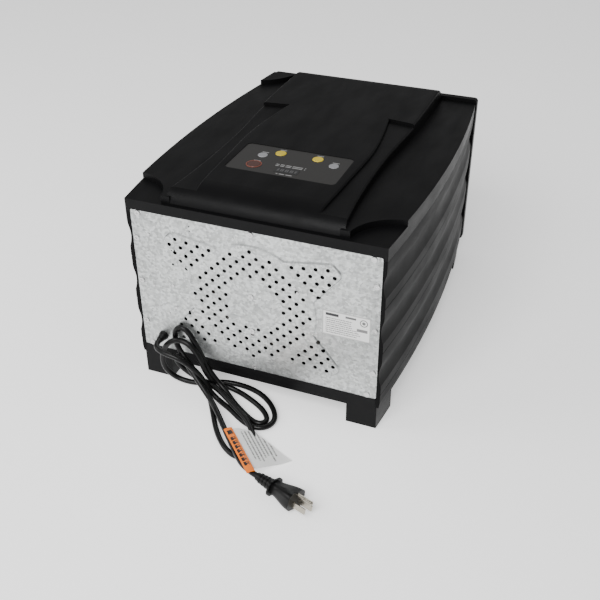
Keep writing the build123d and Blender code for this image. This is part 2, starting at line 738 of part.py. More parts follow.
with BuildPart() as fan_shaft:
    with BuildSketch(fan_plane(FAN_Y - 10)):
        Circle(SHAFT_R)
    extrude(amount=MOTOR_Y + 16 - FAN_Y + 10)
save(fan_shaft.part, "fan_shaft")

with BuildPart() as motor:
    with BuildSketch(fan_plane(MOTOR_Y)):
        Circle(MOTOR_R)
    extrude(amount=MOTOR_LONG)
    fillet(motor.edges(), radius=3)
    with BuildSketch(fan_plane(MOTOR_Y)):
        Circle(SHAFT_R + 0.05)
    extrude(amount=18, mode=Mode.SUBTRACT)
save(motor.part, "motor")

BRACKET_BACK_Y = SHEET_Y - SHEET + EMBOSS
with BuildPart() as motor_bracket:
    with BuildSketch(fan_plane(MOTOR_Y + MOTOR_LONG)):
        SlotOverall(66, 16, rotation=90)
    extrude(amount=2)
    with BuildSketch(fan_plane(MOTOR_Y + MOTOR_LONG + 2)):
        with Locations((0, 24.4), (0, -24.4)):
            Circle(6)
    extrude(amount=BRACKET_BACK_Y - MOTOR_Y - MOTOR_LONG - 2.1)
    with BuildSketch(fan_plane(BRACKET_BACK_Y)):
        with Locations((0, 24.4), (0, -24.4)):
            Circle(SCREW_SHANK_R + 0.1)
    extrude(amount=-8, mode=Mode.SUBTRACT)
save(motor_bracket.part, "motor_bracket")

COIL_R = 84.0
COIL_WIRE_R = 2.6


def coil_ring(wire_r):
    """The heating element as one ring around the fan."""
    with BuildPart() as ring:
        with BuildSketch(Plane(origin=(VENT_X + COIL_R, FAN_Y, FAN_Z), x_dir=(1, 0, 0), z_dir=(0, 0, 1))):
            Circle(wire_r)
        revolve(axis=Axis((VENT_X, FAN_Y, FAN_Z), (0, 1, 0)), revolution_arc=360)
    return ring.part


save(coil_ring(COIL_WIRE_R), "heater_coil")
with BuildPart() as heater_posts:
    with BuildSketch(fan_plane(BAFFLE_Y)):
        with PolarLocations(COIL_R, 4, start_angle=45):
            Rectangle(14, 8)
    extrude(amount=FAN_Y + 8 - BAFFLE_Y)
    add(coil_ring(COIL_WIRE_R + 0.02), mode=Mode.SUBTRACT)
save(heater_posts.part, "heater_posts")


with BuildPart() as heater_cutouts:
    for x, z, radius in ((66, 214, 9), (-62, 214, 7)):
        with BuildSketch(rear_plane(BAFFLE_Y)):
            with Locations((-x, z)):
                Circle(radius)
        extrude(amount=7)
        with BuildSketch(rear_plane(BAFFLE_Y + 7)):
            with Locations((-x - 3, z), (-x + 3, z)):
                Rectangle(1.4, 4)
        extrude(amount=5)
save(heater_cutouts.part, "heater_cutouts")

with BuildPart() as terminal_block:
    with BuildSketch(Plane.XY.offset(BASE_Z + WALL)):
        with Locations((106, 196)):
            Rectangle(30, 14)
    extrude(amount=13)
    with BuildSketch(Plane.XY.offset(BASE_Z + WALL + 13)):
        with Locations((106, 196)):
            with GridLocations(9, 7, 3, 2):
                Circle(2.2)
    extrude(amount=-5, mode=Mode.SUBTRACT)
save(terminal_block.part, "terminal_block")

# ---- controls -----------------------------------------------------------------------------------
BOARD_Z = 261.0
BOARD_T = 1.6
RECESS_Z = DOME_Z - CONTROL_DEPTH
OVERLAY_T = 0.4
KEY_TOP_Z = DOME_Z + 0.1
KEY_BOTTOM_Z = 266.4
SWITCH_TOP_Z = KEY_BOTTOM_Z - 1.15
STANDOFFS = [(x, y) for x in (-60, 60) for y in (78, 134)]
RING_W = 1.3

with BuildPart() as control_overlay:
    with BuildSketch(Plane.XY.offset(RECESS_Z)):
        with Locations((CONTROL_X, CONTROL_Y)):
            RectangleRounded(CONTROL_SIZE[0] - 0.3, CONTROL_SIZE[1] - 0.3, CONTROL_R - 0.15)
        for x, y, r in KEYS.values():
            with Locations((x, y)):
                Circle(r + KEY_GAP, mode=Mode.SUBTRACT)
        with Locations(DISPLAY):
            Rectangle(*DISPLAY_SIZE, mode=Mode.SUBTRACT)
    extrude(amount=OVERLAY_T)
save(control_overlay.part, "control_overlay")

with BuildPart() as display_window:
    with BuildSketch(Plane.XY.offset(RECESS_Z)):
        with Locations(DISPLAY):
            Rectangle(DISPLAY_SIZE[0] - 0.1, DISPLAY_SIZE[1] - 0.1)
    extrude(amount=0.6)
save(display_window.part, "display_window")

power_x, power_y, power_r = KEYS["power"]
with BuildPart() as power_ring:
    with BuildSketch(Plane.XY.offset(RECESS_Z + OVERLAY_T)):
        with Locations((power_x, power_y)):
            Circle(power_r + KEY_GAP + RING_W)
            Circle(power_r + KEY_GAP, mode=Mode.SUBTRACT)
    extrude(amount=0.5)
save(power_ring.part, "power_ring")

for name, (x, y, r) in KEYS.items():
    with BuildPart() as key:
        with BuildSketch(Plane.XY.offset(KEY_BOTTOM_Z + 2)):
            with Locations((x, y)):
                Circle(r)
        extrude(amount=KEY_TOP_Z - KEY_BOTTOM_Z - 2)
        fillet(key.edges().group_by(Axis.Z)[-1], radius=0.7)
        with BuildSketch(Plane.XY.offset(KEY_BOTTOM_Z)):
            with Locations((x, y)):
                Circle(2)
        extrude(amount=2)
    save(key.part, f"key_{name}")

with BuildPart() as control_board:
    with BuildSketch(Plane.XY.offset(BOARD_Z)):
        with Locations((0, CONTROL_Y)):
            Rectangle(132, 68)
    extrude(amount=BOARD_T)
save(control_board.part, "control_board")

with BuildPart() as key_switches:
    with BuildSketch(Plane.XY.offset(BOARD_Z + BOARD_T)):
        with Locations([(x, y) for x, y, r in KEYS.values()]):
            Rectangle(7, 7)
    extrude(amount=SWITCH_TOP_Z - BOARD_Z - BOARD_T)
save(key_switches.part, "key_switches")

with BuildPart() as board_posts:
    with BuildSketch(Plane.XY.offset(BOARD_Z + BOARD_T)):
        with Locations(STANDOFFS):
            Circle(3.2)
    extrude(amount=DOME_Z - WALL - BOARD_Z - BOARD_T)
save(board_posts.part, "board_posts")

# ---- mains lead ---------------------------------------------------------------------------------
FLANGE_Y = SHEET_Y + 3.6
SLEEVE_END_Y = 235.0
HANK_SPLIT_Z = 16.0
LOOP_TOP_Z = 7.6
HANK_NEAR_Y = 227.4
HANK_MID_Y = 244.0
HANK_FAR_Y = 256.5

with BuildPart() as strain_relief:
    with BuildSketch(rear_plane(SHEET_Y)):
        with Locations(at_panel([CORD_EXIT])):
            Circle(6.4)
    extrude(amount=FLANGE_Y - SHEET_Y, taper=8)
    with BuildSketch(rear_plane(FLANGE_Y)):
        with Locations(at_panel([CORD_EXIT])):
            Circle(5.2)
    extrude(amount=SLEEVE_END_Y - FLANGE_Y, taper=7)
    with BuildSketch(rear_plane(SHEET_Y)):
        with Locations(at_panel([CORD_EXIT])):
            Circle(4.7)
    extrude(amount=-9)
save(strain_relief.part, "strain_relief")


def bend_radii(route):
    """The largest tangent arc at each corner that leaves a tenth of the shorter run straight."""
    radii = []
    for a, b, c in zip(route, route[1:], route[2:]):
        before = Vector(*b) - Vector(*a)
        after = Vector(*c) - Vector(*b)
        half = radians(before.get_angle(after) / 2)
        radii.append(0.45 * min(before.length, after.length) / tan(half))
    return radii


def lead_stretch(name, route):
    """A stretch of the lead that isn't coiled, with its radii and volume printed."""
    radii = bend_radii(route)
    with BuildPart() as stretch:
        with BuildLine():
            path = FilletPolyline(*route, radius=radii)
        with BuildSketch(Plane(origin=path @ 0, z_dir=path % 0)):
            Circle(CORD_R)
        sweep(path=path)
    print(name, "radii", [round(r, 1) for r in radii])
    print(name, "volume", round(stretch.part.volume), "section x length",
          round(pi * CORD_R**2 * path.length))
    save(stretch.part, name)


EXIT_ROUTE = [(CORD_EXIT[0], SLEEVE_END_Y, CORD_EXIT[1]), (127.2, 243.5, 64.8), (121.6, 250.2, 63.6),
              (112.6, 252.0, 61.4)]
lead_stretch("cord_exit", EXIT_ROUTE)

UPPER_BACK = [(57, HANK_SPLIT_Z), (60, 30), (67, 58), (82, 86), (95, 90.5), (108, 86), (119, 74),
              (120, 57), (127.5, 52), (127.5, 30), (121, HANK_SPLIT_Z)]
UPPER_FRONT = [(50, HANK_SPLIT_Z), (55, 27), (66, 43), (80, 57), (94, 66), (111.8, 67), (111.8, 44),
               (92, 40), (76, 28), (68, HANK_SPLIT_Z)]
with BuildPart() as hank_upper:
    for outline, near_y, far_y in ((UPPER_BACK, HANK_NEAR_Y, HANK_MID_Y),
                                   (UPPER_FRONT, HANK_MID_Y, HANK_FAR_Y)):
        with BuildSketch(rear_plane(near_y)):
            with BuildLine():
                Polyline(*at_panel(outline), close=True)
            make_face()
        extrude(amount=far_y - near_y)
save(hank_upper.part, "hank_upper")

LEAD_ROUTE = [(31, 275, 12), (8.5, 301, 11.6), (-18.5, 331, 11.7), (-43.0, 354.3, 13), (-61.5, 360.5, 13)]
lead_way = (Vector(*LEAD_ROUTE[1]) - Vector(*LEAD_ROUTE[0])).normalized()
lead_side = lead_way.cross(Vector(0, 0, 1)).normalized()
mouth_near = Vector(*LEAD_ROUTE[0]) + lead_side * 13
mouth_far = Vector(*LEAD_ROUTE[0]) - lead_side * 13
MOUTH = [(p.X, p.Y) for p in (mouth_near, mouth_far)]
LOWER_OUTLINE = [(121, 227.5), (66, 211), (44, 208), (8, 208), (-12, 218), (-30, 234), (-40.5, 254),
                 (-41, 268), (-34, 280), (-22, 285), (-6, 283.5), (6, 276)]
LOWER_NEAR = [(54, 268), (68, 257), (68, 246), (121, 243)]
LOOP_OUTLINE = [(32, 300), (14, 319), (-4, 333), (-22, 338), (-37, 329), (-38.5, 317), (-30.5, 302),
                (-18, 288.5), (-6, 284)]
with BuildPart() as hank_lower:
    with BuildSketch():
        with BuildLine():
            Polyline(*LOWER_OUTLINE, *MOUTH[::-1], *LOWER_NEAR, close=True)
        make_face()
    extrude(amount=HANK_SPLIT_Z)
    with BuildSketch():
        with BuildLine():
            Polyline((6, 272), *MOUTH[::-1], *LOOP_OUTLINE, close=True)
        make_face()
    extrude(amount=LOOP_TOP_Z)
save(hank_lower.part, "hank_lower")

lead_stretch("cord_lead", LEAD_ROUTE)

# wrap tag on the lead, with its paper leaf drooping to one side
TAG_START = Vector(2.5, 303.4, 15.9)
TAG_END = Vector(-54.0, 361.0, 17.6)
TAG_WIDE = 10.0
TAG_T = 0.5
tag_way = (TAG_END - TAG_START).normalized()
tag_across = Vector(0, 0, 1).cross(tag_way).normalized()


def tag_plane(along):
    """A plane across the tag, with its first axis towards the leaf and its second one up."""
    return Plane(origin=TAG_START + tag_way * along, x_dir=tag_across,
                 z_dir=tag_across.cross(Vector(0, 0, 1)))


with BuildPart() as cord_tag:
    with BuildSketch(tag_plane(0)):
        with BuildLine():
            ThreePointArc((-TAG_WIDE / 2, -1.0), (0, 0), (TAG_WIDE / 2, -1.0))
            Line((TAG_WIDE / 2, -1.0), (TAG_WIDE / 2, -1.0 + TAG_T))
            ThreePointArc((TAG_WIDE / 2, -1.0 + TAG_T), (0, TAG_T), (-TAG_WIDE / 2, -1.0 + TAG_T))
            Line((-TAG_WIDE / 2, -1.0 + TAG_T), (-TAG_WIDE / 2, -1.0))
        make_face()
    extrude(amount=(TAG_END - TAG_START).length, dir=tag_way)
save(cord_tag.part, "cord_tag")

LEAF_T = 0.4
LEAF_CORNERS = [(-2.6, 301.2), (-8, 295.5), (-27, 288.8), (-84, 312.5), (-57.5, 349), (-53, 352.6)]
with BuildPart() as tag_leaf:
    with BuildSketch(tag_plane(0)):
        with BuildLine():
            Spline((TAG_WIDE / 2 + 0.1, -1.0), (20, -5.5), (33, -10.0), (58, -14.6))
            Line((58, -14.6), (58, -14.6 - LEAF_T))
            Spline((58, -14.6 - LEAF_T), (33, -10.0 - LEAF_T), (20, -5.5 - LEAF_T),
                   (TAG_WIDE / 2 + 0.1, -1.0 - LEAF_T))
            Line((TAG_WIDE / 2 + 0.1, -1.0 - LEAF_T), (TAG_WIDE / 2 + 0.1, -1.0))
        make_face()
    extrude(amount=90)
    with BuildSketch():
        with BuildLine():
            Polyline(*LEAF_CORNERS, close=True)
        make_face()
    extrude(amount=30, mode=Mode.INTERSECT)
save(tag_leaf.part, "tag_leaf")

# plug: it lies a little rolled over, with its blades pointing away from the lead
PLUG_START = Vector(*LEAD_ROUTE[-1])
PLUG_AXIS = (PLUG_START - Vector(*LEAD_ROUTE[-2])).normalized()
PLUG_ROLL = 22.0
RELIEF_LONG = 24.0
PLUG_FACE = 57.0
BLADE_LONG = 18.0


def plug_plane(along):
    """A plane across the plug, turned with the plug's roll."""
    level = PLUG_AXIS.cross(Vector(0, 0, 1))
    across = level * cos(radians(PLUG_ROLL)) + Vector(0, 0, 1) * sin(radians(PLUG_ROLL))
    return Plane(origin=PLUG_START + PLUG_AXIS * along, x_dir=across, z_dir=PLUG_AXIS)


PLUG_SECTIONS = [(RELIEF_LONG + 2.4, 17, 15, 6), (RELIEF_LONG + 12, 20, 17, 6),
                 (PLUG_FACE - 8, 27, 21, 7), (PLUG_FACE, 29, 21.5, 7)]
with BuildPart() as plug_body:
    with BuildSketch(plug_plane(0)):
        Circle(CORD_R + 1.3)
    with BuildSketch(plug_plane(RELIEF_LONG)):
        Circle(CORD_R + 3.6)
    loft()
    for along in (5, 10, 15, 20):
        with BuildSketch(plug_plane(along)):
            Circle(CORD_R + 2.2 + along * 0.09)
        extrude(amount=2)
    with BuildSketch(plug_plane(RELIEF_LONG)):
        RectangleRounded(25, 19, 7)
    extrude(amount=2.4)
    for along, wide, high, corner in PLUG_SECTIONS:
        with BuildSketch(plug_plane(along)):
            RectangleRounded(wide, high, corner)
    loft()
save(plug_body.part, "plug_body")

with BuildPart() as plug_blades:
    with BuildSketch(plug_plane(PLUG_FACE)):
        with Locations((-6.35, 2.5), (6.35, 2.5)):
            Rectangle(1.5, 6.3)
    extrude(amount=BLADE_LONG)
save(plug_blades.part, "plug_blades")

with BuildPart() as plug_earth_pin:
    with BuildSketch(plug_plane(PLUG_FACE)):
        with Locations((0, -7)):
            Circle(2.4)
    extrude(amount=BLADE_LONG + 3)
    chamfer(plug_earth_pin.faces().sort_by(Axis((0, 0, 0), tuple(PLUG_AXIS)))[-1].edges(), length=1.4)
save(plug_earth_pin.part, "plug_earth_pin")
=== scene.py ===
import math

import bmesh
import bpy
from bpy.props import FloatProperty, FloatVectorProperty, PointerProperty
from bpy.types import Operator, Panel, PropertyGroup
from mathutils import Matrix, Vector


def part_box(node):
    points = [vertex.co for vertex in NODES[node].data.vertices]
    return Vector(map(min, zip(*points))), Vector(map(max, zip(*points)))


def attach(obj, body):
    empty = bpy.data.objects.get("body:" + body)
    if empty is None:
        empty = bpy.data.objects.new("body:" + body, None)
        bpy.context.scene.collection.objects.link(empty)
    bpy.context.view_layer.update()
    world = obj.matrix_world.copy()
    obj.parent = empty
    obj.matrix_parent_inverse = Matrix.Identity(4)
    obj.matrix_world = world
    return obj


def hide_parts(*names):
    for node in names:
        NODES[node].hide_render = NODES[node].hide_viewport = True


bl_info = {
    "name": "Food Dehydrator",
    "version": (1, 0, 0),
    "blender": (4, 5, 0),
    "location": "3D View > Sidebar > Dehydrator",
    "description": "Finishes, mains lead and studio for a counter-top food dehydrator",
    "category": "Object",
}

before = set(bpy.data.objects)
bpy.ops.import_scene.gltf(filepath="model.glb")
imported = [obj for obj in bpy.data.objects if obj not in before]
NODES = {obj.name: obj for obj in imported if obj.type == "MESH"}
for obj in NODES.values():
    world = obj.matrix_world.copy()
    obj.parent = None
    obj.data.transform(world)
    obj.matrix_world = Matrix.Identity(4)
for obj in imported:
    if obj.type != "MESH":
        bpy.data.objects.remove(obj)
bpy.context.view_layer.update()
MM = 0.001
CAMERA_PLACE = (-0.3729, 1.0067, 0.7336)
CAMERA_TARGET = (-0.0594, 0.2241, 0.1646)
ROLL_DEG = -0.32
LIGHT_TARGET = (0, 0.1, 0.1)
FLOOR_HALF = 6

# The lead's route from its strain relief to its plug, in metres: one pass through the crossing of
# the hank between each loop and the next.
LEAD_ROUTE = [
    (0.1272, 0.2350, 0.0650), (0.1272, 0.2430, 0.0648), (0.1235, 0.2495, 0.0642),
    (0.1160, 0.2530, 0.0632), (0.1060, 0.2540, 0.0615), (0.0940, 0.2530, 0.0590), (0.0800, 0.2510, 0.0510),
    (0.0680, 0.2480, 0.0380), (0.0600, 0.2470, 0.0240), (0.0520, 0.2480, 0.0120),
    # first loop on the worktop
    (0.0400, 0.2500, 0.0040), (0.0200, 0.2600, 0.0040), (0.0030, 0.2710, 0.0040),
    (-0.0120, 0.2780, 0.0040), (-0.0260, 0.2790, 0.0040), (-0.0370, 0.2710, 0.0040),
    (-0.0390, 0.2570, 0.0040), (-0.0320, 0.2430, 0.0040), (-0.0200, 0.2300, 0.0040),
    (-0.0040, 0.2190, 0.0040), (0.0170, 0.2125, 0.0040), (0.0430, 0.2120, 0.0040),
    (0.0640, 0.2200, 0.0045),
    # lower loop against the back
    (0.0820, 0.2290, 0.0040), (0.1010, 0.2300, 0.0040), (0.1150, 0.2330, 0.0110),
    (0.1230, 0.2370, 0.0250), (0.1240, 0.2380, 0.0400), (0.1210, 0.2380, 0.0540),
    (0.1130, 0.2380, 0.0670), (0.1000, 0.2380, 0.0750), (0.0860, 0.2380, 0.0740),
    (0.0750, 0.2385, 0.0640), (0.0670, 0.2390, 0.0480), (0.0610, 0.2380, 0.0300),
    (0.0530, 0.2330, 0.0150),
    # second loop on the worktop
    (0.0400, 0.2250, 0.0080), (0.0210, 0.2270, 0.0050), (0.0010, 0.2350, 0.0040),
    (-0.0150, 0.2440, 0.0040), (-0.0255, 0.2535, 0.0040), (-0.0305, 0.2625, 0.0040),
    (-0.0265, 0.2700, 0.0040), (-0.0170, 0.2705, 0.0040), (-0.0080, 0.2660, 0.0040),
    (0.0040, 0.2590, 0.0045),
    (0.0200, 0.2490, 0.0060), (0.0370, 0.2370, 0.0110), (0.0520, 0.2330, 0.0220),
    # tall loop against the back
    (0.0630, 0.2330, 0.0380), (0.0710, 0.2320, 0.0560), (0.0800, 0.2310, 0.0730),
    (0.0865, 0.2305, 0.0835), (0.0940, 0.2305, 0.0900), (0.1030, 0.2305, 0.0875),
    (0.1070, 0.2310, 0.0765),
    (0.1040, 0.2320, 0.0600), (0.0950, 0.2350, 0.0500), (0.0820, 0.2400, 0.0400),
    (0.0690, 0.2440, 0.0280), (0.0580, 0.2490, 0.0180),
    # long loop on the worktop, away from the back
    (0.0470, 0.2600, 0.0110), (0.0360, 0.2760, 0.0050), (0.0230, 0.2960, 0.0040),
    (0.0100, 0.3120, 0.0040), (-0.0050, 0.3260, 0.0040), (-0.0220, 0.3340, 0.0040),
    (-0.0370, 0.3260, 0.0040), (-0.0350, 0.3060, 0.0040), (-0.0230, 0.2890, 0.0050),
    (-0.0100, 0.2760, 0.0100), (0.0070, 0.2660, 0.0120), (0.0240, 0.2550, 0.0130),
    (0.0420, 0.2440, 0.0150), (0.0580, 0.2390, 0.0180),
    # small loop against the back
    (0.0740, 0.2370, 0.0200), (0.0890, 0.2360, 0.0250), (0.0995, 0.2365, 0.0335),
    (0.1045, 0.2380, 0.0440), (0.0995, 0.2410, 0.0525), (0.0890, 0.2440, 0.0510),
    (0.0780, 0.2480, 0.0400),
    (0.0660, 0.2530, 0.0300), (0.0540, 0.2590, 0.0210),
    # and out to the plug
    (0.0420, 0.2660, 0.0150), (0.0300, 0.2770, 0.0120), (0.0140, 0.2945, 0.0115),
    (-0.0040, 0.3145, 0.0115), (-0.0220, 0.3340, 0.0118), (-0.0410, 0.3536, 0.0130),
    (-0.0615, 0.3605, 0.0130),
]
# the wrap tag's middle line from above: where it starts, and its direction
TAG_START = (0.0025, 0.3034)
TAG_WAY = (-0.7003, 0.7139)


class FinishSettings(PropertyGroup):
    """Colours that a user would change."""
    shell: FloatVectorProperty(
        name="Shell", description="Moulded cover, base and frames", subtype="COLOR",
        default=(0.0035, 0.0035, 0.0038), min=0, max=1)
    ribbed: FloatVectorProperty(
        name="Ribbed sides", description="Smooth moulded side shells", subtype="COLOR",
        default=(0.003, 0.003, 0.0032), min=0, max=1)
    sheet: FloatVectorProperty(
        name="Sheet back", description="Zinc-coated sheet steel", subtype="COLOR",
        default=(0.50, 0.515, 0.51), min=0, max=1)
    overlay: FloatVectorProperty(
        name="Control film", description="Film over the control board", subtype="COLOR",
        default=(0.022, 0.021, 0.020), min=0, max=1)
    tag: FloatVectorProperty(
        name="Wrap tag", description="Printed tag on the lead", subtype="COLOR",
        default=(0.85, 0.19, 0.01), min=0, max=1)
    up_down: FloatVectorProperty(
        name="Up and down keys", description="Moulded key caps", subtype="COLOR",
        default=(0.55, 0.42, 0.03), min=0, max=1)


class LeadSettings(PropertyGroup):
    """Sizes of the mains lead."""
    diameter: FloatProperty(
        name="Diameter", description="Outside of the lead's sheath", unit="LENGTH",
        default=7 * MM, min=4 * MM, max=10 * MM)


class StageSettings(PropertyGroup):
    """Light and floor."""
    key_power: FloatProperty(
        name="Key light", description="Power of the large soft light", unit="POWER",
        default=85, min=0, max=500)
    fill_power: FloatProperty(
        name="Fill light", description="Power of the opposite soft light", unit="POWER",
        default=18, min=0, max=500)
    ambient: FloatProperty(
        name="Ambient", description="Strength of the even light all round", default=0.4, min=0, max=5)
    lens: FloatProperty(
        name="Lens", description="Focal length in millimetres", default=53.4, min=10, max=300)


# ---- shader helpers -----------------------------------------------------------------------------
class Signal:
    """A node's output socket; arithmetic on it adds the Math nodes that carry it out."""

    def __init__(self, surface, socket):
        self.surface = surface
        self.socket = socket

    def combine(self, operation, first, second):
        return self.surface.add("ShaderNodeMath", {"operation": operation}, {0: first, 1: second})

    def __add__(self, other):
        return self.combine("ADD", self, other)

    __radd__ = __add__

    def __sub__(self, other):
        return self.combine("SUBTRACT", self, other)

    def __rsub__(self, other):
        return self.combine("SUBTRACT", other, self)

    def __mul__(self, other):
        return self.combine("MULTIPLY", self, other)

    def __truediv__(self, other):
        return self.combine("DIVIDE", self, other)

    def __gt__(self, other):
        return self.combine("GREATER_THAN", self, other)

    def __lt__(self, other):
        return self.combine("LESS_THAN", self, other)

    def __mod__(self, other):
        return self.combine("FLOORED_MODULO", self, other)

    def __abs__(self):
        return self.combine("ABSOLUTE", self, 0)


class Surface:
    """One material's nodes around its Principled shader."""

    def __init__(self, name, **constants):
        self.material = bpy.data.materials.new(name)
        self.material.use_nodes = True
        self.tree = self.material.node_tree
        self.shader = self.tree.nodes["Principled BSDF"]
        for socket, value in constants.items():
            self.feed(socket.replace("_", " "), value)

    def add(self, kind, settings, inputs, output=0):
        """Adds one node: its settings first, then a value or a link for each named socket."""
        node = self.tree.nodes.new(kind)
        for name, value in settings.items():
            if name == "stops":
                for place, (position, colour) in enumerate(value):
                    if place > 1:
                        node.color_ramp.elements.new(position)
                    node.color_ramp.elements[place].position = position
                    node.color_ramp.elements[place].color = (*colour, 1)
            else:
                setattr(node, name, value)
        for name, value in inputs.items():
            self.plug(node.inputs[name], value)
        return Signal(self, node.outputs[output])

    def plug(self, socket, value):
        if isinstance(value, Signal):
            self.tree.links.new(value.socket, socket)
        elif isinstance(value, (tuple, list)) and len(value) == 3 and socket.type == "RGBA":
            socket.default_value = (*value, 1)
        else:
            socket.default_value = value

    def feed(self, socket, value):
        self.plug(self.shader.inputs[socket], value)

    def place(self):
        """The point in metres."""
        return self.add("ShaderNodeTexCoord", {}, {}, "Object")

    def axis(self, name):
        """One coordinate of the point in metres."""
        return self.add("ShaderNodeSeparateXYZ", {}, {0: self.place()}, name)

    def stretched(self, x, y, z):
        """The point in metres times a number for each axis."""
        return self.add("ShaderNodeVectorMath", {"operation": "MULTIPLY"},
                        {0: self.place(), 1: (x, y, z)})

    def noise(self, scale, detail=3.0, vector=None, roughness=0.5):
        return self.add("ShaderNodeTexNoise", {},
                        {"Vector": vector or self.place(), "Scale": scale, "Detail": detail,
                         "Roughness": roughness})

    def blend(self, factor, first, second):
        """A colour between two colours."""
        return self.add("ShaderNodeMix", {"data_type": "RGBA"}, {0: factor, 6: first, 7: second}, 2)

    def spread(self, value, low, high, low_to=0.0, high_to=1.0):
        """A value's range mapped to another, clamped at its ends."""
        return self.add("ShaderNodeMapRange", {},
                        {"Value": value, "From Min": low, "From Max": high, "To Min": low_to,
                         "To Max": high_to})

    def bump(self, height, distance, strength=1.0):
        self.feed("Normal", self.add("ShaderNodeBump", {},
                                     {"Height": height, "Distance": distance, "Strength": strength}))


def shade(colour, factor):
    """A colour made lighter or darker."""
    return tuple(min(1.0, channel * factor) for channel in colour)


# ---- finishes -----------------------------------------------------------------------------------
def moulded(name, colour, roughness, grain, depth, gloss=0.5):
    """Moulded plastic: a sparked grain, faint handling marks and slightly uneven colour."""
    surface = Surface(name, Specular_IOR_Level=gloss)
    broad = surface.noise(14, 3)
    grains = surface.noise(grain, 2)
    surface.feed("Base Color", surface.blend(surface.spread(broad, 0.3, 0.7), shade(colour, 0.88),
                                             shade(colour, 1.15)))
    marks = surface.noise(45, 4, surface.stretched(1, 0.35, 1))
    surface.feed("Roughness", surface.spread(marks, 0.35, 0.7, roughness - 0.05, roughness + 0.06))
    surface.bump(grains, depth)
    return surface.material


def zinc_sheet(name, colour):
    """Zinc-coated sheet steel: cloudy, with a small spangle, rolling lines and a few handling marks."""
    surface = Surface(name, Metallic=0.9)
    spangle = surface.add("ShaderNodeTexVoronoi", {"feature": "F1"},
                          {"Vector": surface.stretched(1, 0.2, 1), "Scale": 330}, "Color")
    level = surface.add("ShaderNodeSeparateColor", {}, {0: spangle}, 0)
    rolled = surface.noise(900, 2, surface.stretched(0.03, 1, 1))
    cloud = surface.noise(9, 4, surface.stretched(1, 1, 0.7), 0.6)
    mixed = level * 0.3 + rolled * 0.3 + cloud * 0.4
    surface.feed("Base Color", surface.blend(surface.spread(mixed, 0.3, 0.68), shade(colour, 0.62),
                                             shade(colour, 1.28)))
    surface.feed("Roughness", surface.spread(mixed, 0.3, 0.7, 0.44, 0.3))
    surface.bump(rolled * 0.4 + cloud * 6, 0.00006)
    return surface.material


def plain_metal(name, colour, roughness, metallic=1.0):
    """Plated or rolled metal with fine wear in its gloss."""
    surface = Surface(name, Metallic=metallic)
    wear = surface.noise(260, 4)
    surface.feed("Base Color", surface.blend(wear, shade(colour, 0.85), shade(colour, 1.1)))
    surface.feed("Roughness", surface.spread(wear, 0.3, 0.7, roughness * 0.8, roughness * 1.25))
    surface.bump(wear, 0.00001)
    return surface.material


def rubbery(name, colour, roughness):
    """Soft sheath or moulded rubber: smooth, with a faint bloom."""
    surface = Surface(name, Specular_IOR_Level=0.2)
    bloom = surface.noise(60, 4)
    surface.feed("Base Color", surface.blend(bloom, shade(colour, 0.8), shade(colour, 1.5)))
    surface.feed("Roughness", surface.spread(bloom, 0.3, 0.7, roughness - 0.06, roughness + 0.08))
    surface.bump(surface.noise(900, 2), 0.00003)
    return surface.material


def printed_rows(surface, across, along, rows, ragged=(0.5, 0.94)):
    """One where plain bars stand in for rows of print; across runs along a row."""
    row = along * rows
    within = row % 1
    number = row - within
    ends = surface.noise(1, 0, surface.add("ShaderNodeCombineXYZ", {}, {1: number * 3.7}))
    words = surface.noise(9, 0, surface.add("ShaderNodeCombineXYZ", {}, {0: across * 7, 1: number}))
    bars = (within > 0.36) * (within < 0.8) * (across > 0.07) * (words > 0.43)
    return bars * (across < surface.spread(ends, 0.3, 0.7, *ragged))


def label_print(name):
    """A pale film with a heavy bar, a ring and rows of plain bars in place of print."""
    surface = Surface(name, Roughness=0.42)
    low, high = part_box("rating_label")
    left = (high[0] - surface.axis("X")) / (high[0] - low[0])
    down = (high[2] - surface.axis("Z")) / (high[2] - low[2])
    rows = printed_rows(surface, left, down, 12) * (down > 0.24) * (down < 0.93)
    rows = rows * (1 - (left > 0.62) * (down < 0.62))
    heading = (down > 0.09) * (down < 0.2) * (left > 0.07) * (left < 0.34)
    sub_heading = (down > 0.1) * (down < 0.18) * (left > 0.48) * (left < 0.7)
    sideways = (left - 0.86) * 1.75
    upwards = down - 0.24
    reach = sideways * sideways + upwards * upwards
    ring = (reach < 0.021) * (reach > 0.012) + (reach < 0.004)
    block = (left > 0.72) * (left < 0.94) * (down > 0.5) * (down < 0.62)
    rim = 1 - (left > 0.02) * (left < 0.98) * (down > 0.035) * (down < 0.965)
    ink = rows * 0.8 + heading + sub_heading * 0.9 + ring * 0.85 + block * 0.8 + rim * 0.45
    paper = surface.noise(300, 3)
    pale = surface.blend(paper, (0.66, 0.66, 0.65), (0.74, 0.74, 0.73))
    surface.feed("Base Color", surface.blend(surface.spread(ink, 0, 1), pale, (0.015, 0.015, 0.017)))
    return surface.material


def along_tag(surface):
    """How far a point is along the wrap tag, and how far across towards the leaf, in metres."""
    x = surface.axis("X") - TAG_START[0]
    y = surface.axis("Y") - TAG_START[1]
    return x * TAG_WAY[0] + y * TAG_WAY[1], x * -TAG_WAY[1] + y * TAG_WAY[0]


